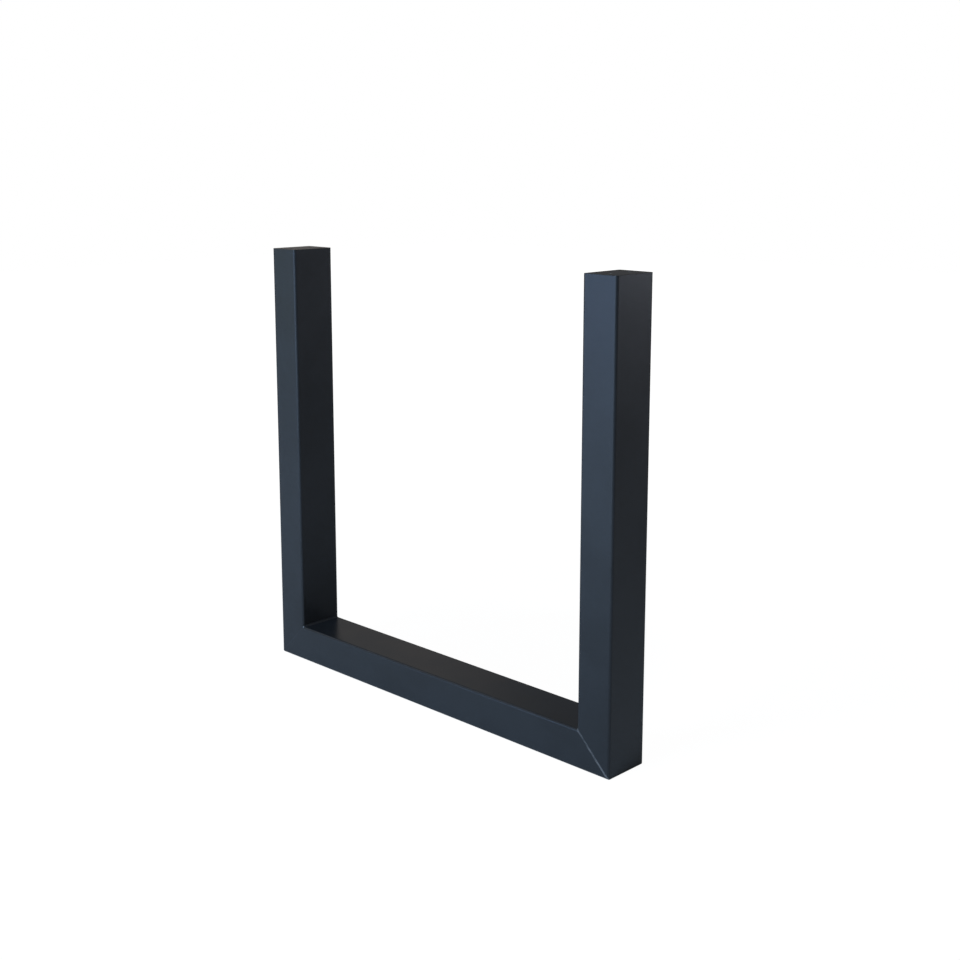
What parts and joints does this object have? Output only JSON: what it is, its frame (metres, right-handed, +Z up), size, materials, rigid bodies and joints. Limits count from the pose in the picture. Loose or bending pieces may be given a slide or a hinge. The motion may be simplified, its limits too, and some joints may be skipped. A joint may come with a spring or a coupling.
{
  "type": "u-shaped table leg",
  "caption": "U-shaped table leg of mitred and welded rectangular steel tube, with a flat foot rail and closed, tapped upper ends that bolt to a table top or frame.",
  "frame": {"origin": "on the floor, under the middle of the bottom rail", "axes": "+X across the U towards the right upright, +Y through its depth, +Z up towards the table top"},
  "size_m": [0.75, 0.08, 0.72],
  "materials": {
    "powder_coat": "satin anthracite-black powder coat with a fine orange peel"
  },
  "bodies": {
    "root": {"bottom_rail": "powder_coat", "left_upright": "powder_coat", "right_upright": "powder_coat", "left_corner_weld": "powder_coat", "right_corner_weld": "powder_coat", "left_head_plate": "powder_coat", "right_head_plate": "powder_coat", "left_head_weld": "powder_coat", "right_head_weld": "powder_coat"}
  },
  "joints": []
}
